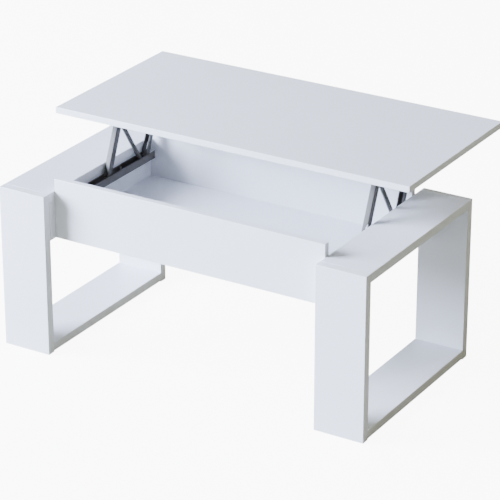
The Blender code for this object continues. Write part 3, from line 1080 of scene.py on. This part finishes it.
class TABLE_OT_fasteners(bpy.types.Operator):
    """Makes the screws, bolts, pins and dowels"""

    bl_idname = "table.fasteners"
    bl_label = "Fasteners"

    def execute(self, context):
        settings = context.scene.lift_table.fasteners
        tree = fastener_tree()
        words = [word for word, _ in SIDES]
        channel_screws = [f"{word}_channel_screw_{n}" for word in words for n in (1, 2, 3)]
        lid_screws = [f"{word}_lid_screw_{n}" for word in words for n in (1, 2, 3)]
        bolts = [f"{word}_{end}_bolt" for word in words for end in ("front", "back")]
        groups = (
            (
                "channel_screws", "base", "zinc_steel", "zinc_plate", pan_head_screw,
                {name: end_seat(name, -side_of(name), SCREW_DOME) for name in channel_screws},
            ),
            (
                "lid_screws", "top", "zinc_steel", "zinc_plate", pan_head_screw,
                {name: lid_screw_seat(name) for name in lid_screws},
            ),
            (
                "tray_bolts", "base", "zinc_steel", "zinc_plate", connecting_bolt,
                {name: end_seat(name, side_of(name)) for name in bolts},
            ),
            (
                "leg_dowels", "base", "dowel_beech", "beech_wood", fluted_dowel,
                {name: (middle_of(name), (0, 1, 0)) for name in DOWELS},
            ),
        )
        for step, (name, body, slot, finish, maker, seats) in enumerate(groups):
            seed = settings.seed + step
            set_on_points(name, body, slot, finish, maker(settings), seats, tree, seed)
        pins = (
            ("arm_pins", ("front_arm", "rear_arm"), settings.pin),
            ("anchor_pins", ("spring_anchor",), settings.anchor_pin),
        )
        for name, uses, radius in pins:
            nodes = [f"{word}_{use}_pin" for word in words for use in uses]
            low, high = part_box(nodes[0])
            set_on_points(
                name, "base", "painted_steel", "grey_enamel",
                flush_pin(radius, high.x - low.x),
                {node: (middle_of(node), (1, 0, 0)) for node in nodes},
                tree, settings.seed + len(groups),
            )
        for word in words:
            for place in ("front", "rear"):
                lid_pin(f"{word}_{place}_lid_pin", f"{word}_{place}_arm", settings)
        return {"FINISHED"}


# Stage

# Half the floor's width, how far the camera sees, and the point that the lights face
FLOOR_HALF = 40
VIEW_LIMIT = 200
AIM = Vector((0, 0, 0.3))


def soft_light(name, place, width, power, tone):
    """A square area light that faces the table."""
    lamp = bpy.data.lights.new(name, "AREA")
    lamp.shape = "SQUARE"
    lamp.size = width
    lamp.energy = power
    lamp.color = tone
    thing = bpy.data.objects.new(name, lamp)
    bpy.context.scene.collection.objects.link(thing)
    thing.location = place
    thing.rotation_euler = (AIM - Vector(place)).to_track_quat("-Z", "Y").to_euler()


def pale_floor(settings):
    """A pale floor that looks white, and lights the table less than it looks."""
    base = tuple(settings.floor)
    material, tree, shader = shaded("pale_floor", base, roughness=0.9)
    tint(tree, shader, noise(tree, scale=0.5), *around(base, spread=0.002))
    glow = node(tree, "ShaderNodeEmission", Strength=settings.backdrop)
    seen = node(tree, "ShaderNodeLightPath")
    unlit = node(tree, "ShaderNodeEmission", Strength=0.0)
    choice = node(tree, "ShaderNodeMixShader")
    both = node(tree, "ShaderNodeAddShader")
    link(
        tree,
        (seen, "Is Camera Ray", choice, "Fac"),
        (unlit, "Emission", choice, 1),
        (glow, "Emission", choice, 2),
        (shader, "BSDF", both, 0),
        (choice, "Shader", both, 1),
        (both, "Shader", tree.nodes["Material Output"], "Surface"),
    )
    return material


def even_light(settings):
    """A world of even light behind a white backdrop."""
    world = bpy.data.worlds.new("even_light")
    world.use_nodes = True
    tree = world.node_tree
    even = tree.nodes["Background"]
    even.inputs["Color"].default_value = (*settings.sky_tone, 1)
    even.inputs["Strength"].default_value = settings.sky
    bright = node(
        tree, "ShaderNodeBackground", Color=(1, 1, 1, 1), Strength=settings.backdrop + 1,
    )
    seen = node(tree, "ShaderNodeLightPath")
    choice = node(tree, "ShaderNodeMixShader")
    link(
        tree,
        (seen, "Is Camera Ray", choice, "Fac"),
        (even, "Background", choice, 1),
        (bright, "Background", choice, 2),
        (choice, "Shader", tree.nodes["World Output"], "Surface"),
    )
    return world


class TABLE_OT_stage(bpy.types.Operator):
    """Makes the floor, the lights and the camera"""

    bl_idname = "table.stage"
    bl_label = "Stage"

    def execute(self, context):
        settings = context.scene.lift_table.stage
        bm = bmesh.new()
        bmesh.ops.create_grid(bm, x_segments=1, y_segments=1, size=FLOOR_HALF)
        floor = made("floor", bm)
        floor.data.materials.append(pale_floor(settings))
        context.scene.world = even_light(settings)
        soft_light(
            "key_light", settings.key_place, settings.key_width, settings.key,
            settings.key_tone,
        )
        soft_light(
            "rim_light", settings.rim_place, settings.rim_width, settings.rim,
            settings.sky_tone,
        )
        camera = bpy.data.cameras.new("camera")
        camera.lens = settings.lens
        camera.clip_end = VIEW_LIMIT
        eye = bpy.data.objects.new("camera", camera)
        context.scene.collection.objects.link(eye)
        eye.location = settings.camera_place
        eye.rotation_euler = (math.pi / 2 - settings.pitch, 0, settings.azimuth)
        context.scene.camera = eye
        return {"FINISHED"}


# Panel and registration


class TABLE_PT_panel(bpy.types.Panel):
    """Lists the table's pieces"""

    bl_idname = "TABLE_PT_panel"
    bl_label = "Lift-top table"
    bl_space_type = "VIEW_3D"
    bl_region_type = "UI"
    bl_category = "Table"

    def draw(self, context):
        for operator in OPERATORS:
            self.layout.operator(operator.bl_idname)
        for group in ("boards", "steel", "springs", "fasteners", "stage"):
            settings = getattr(context.scene.lift_table, group)
            box = self.layout.box()
            box.label(text=group.capitalize())
            for name in settings.__annotations__:
                box.prop(settings, name)


OPERATORS = (
    TABLE_OT_boards, TABLE_OT_channels, TABLE_OT_arms, TABLE_OT_brackets, TABLE_OT_springs,
    TABLE_OT_fasteners, TABLE_OT_stage,
)
CLASSES = (
    TableBoardSettings, TableSteelSettings, TableSpringSettings, TableFastenerSettings,
    TableStageSettings, TableSettings, *OPERATORS, TABLE_PT_panel,
)


def register():
    """Registers the settings, the operators and the panel."""
    for item in CLASSES:
        bpy.utils.register_class(item)
    bpy.types.Scene.lift_table = PointerProperty(type=TableSettings)


def unregister():
    """Removes what register added."""
    del bpy.types.Scene.lift_table
    for item in reversed(CLASSES):
        bpy.utils.unregister_class(item)


def main():
    """Makes the table piece by piece."""
    register()
    for operator in OPERATORS:
        group, name = operator.bl_idname.split(".")
        getattr(getattr(bpy.ops, group), name)()


if __name__ == "__main__":
    main()
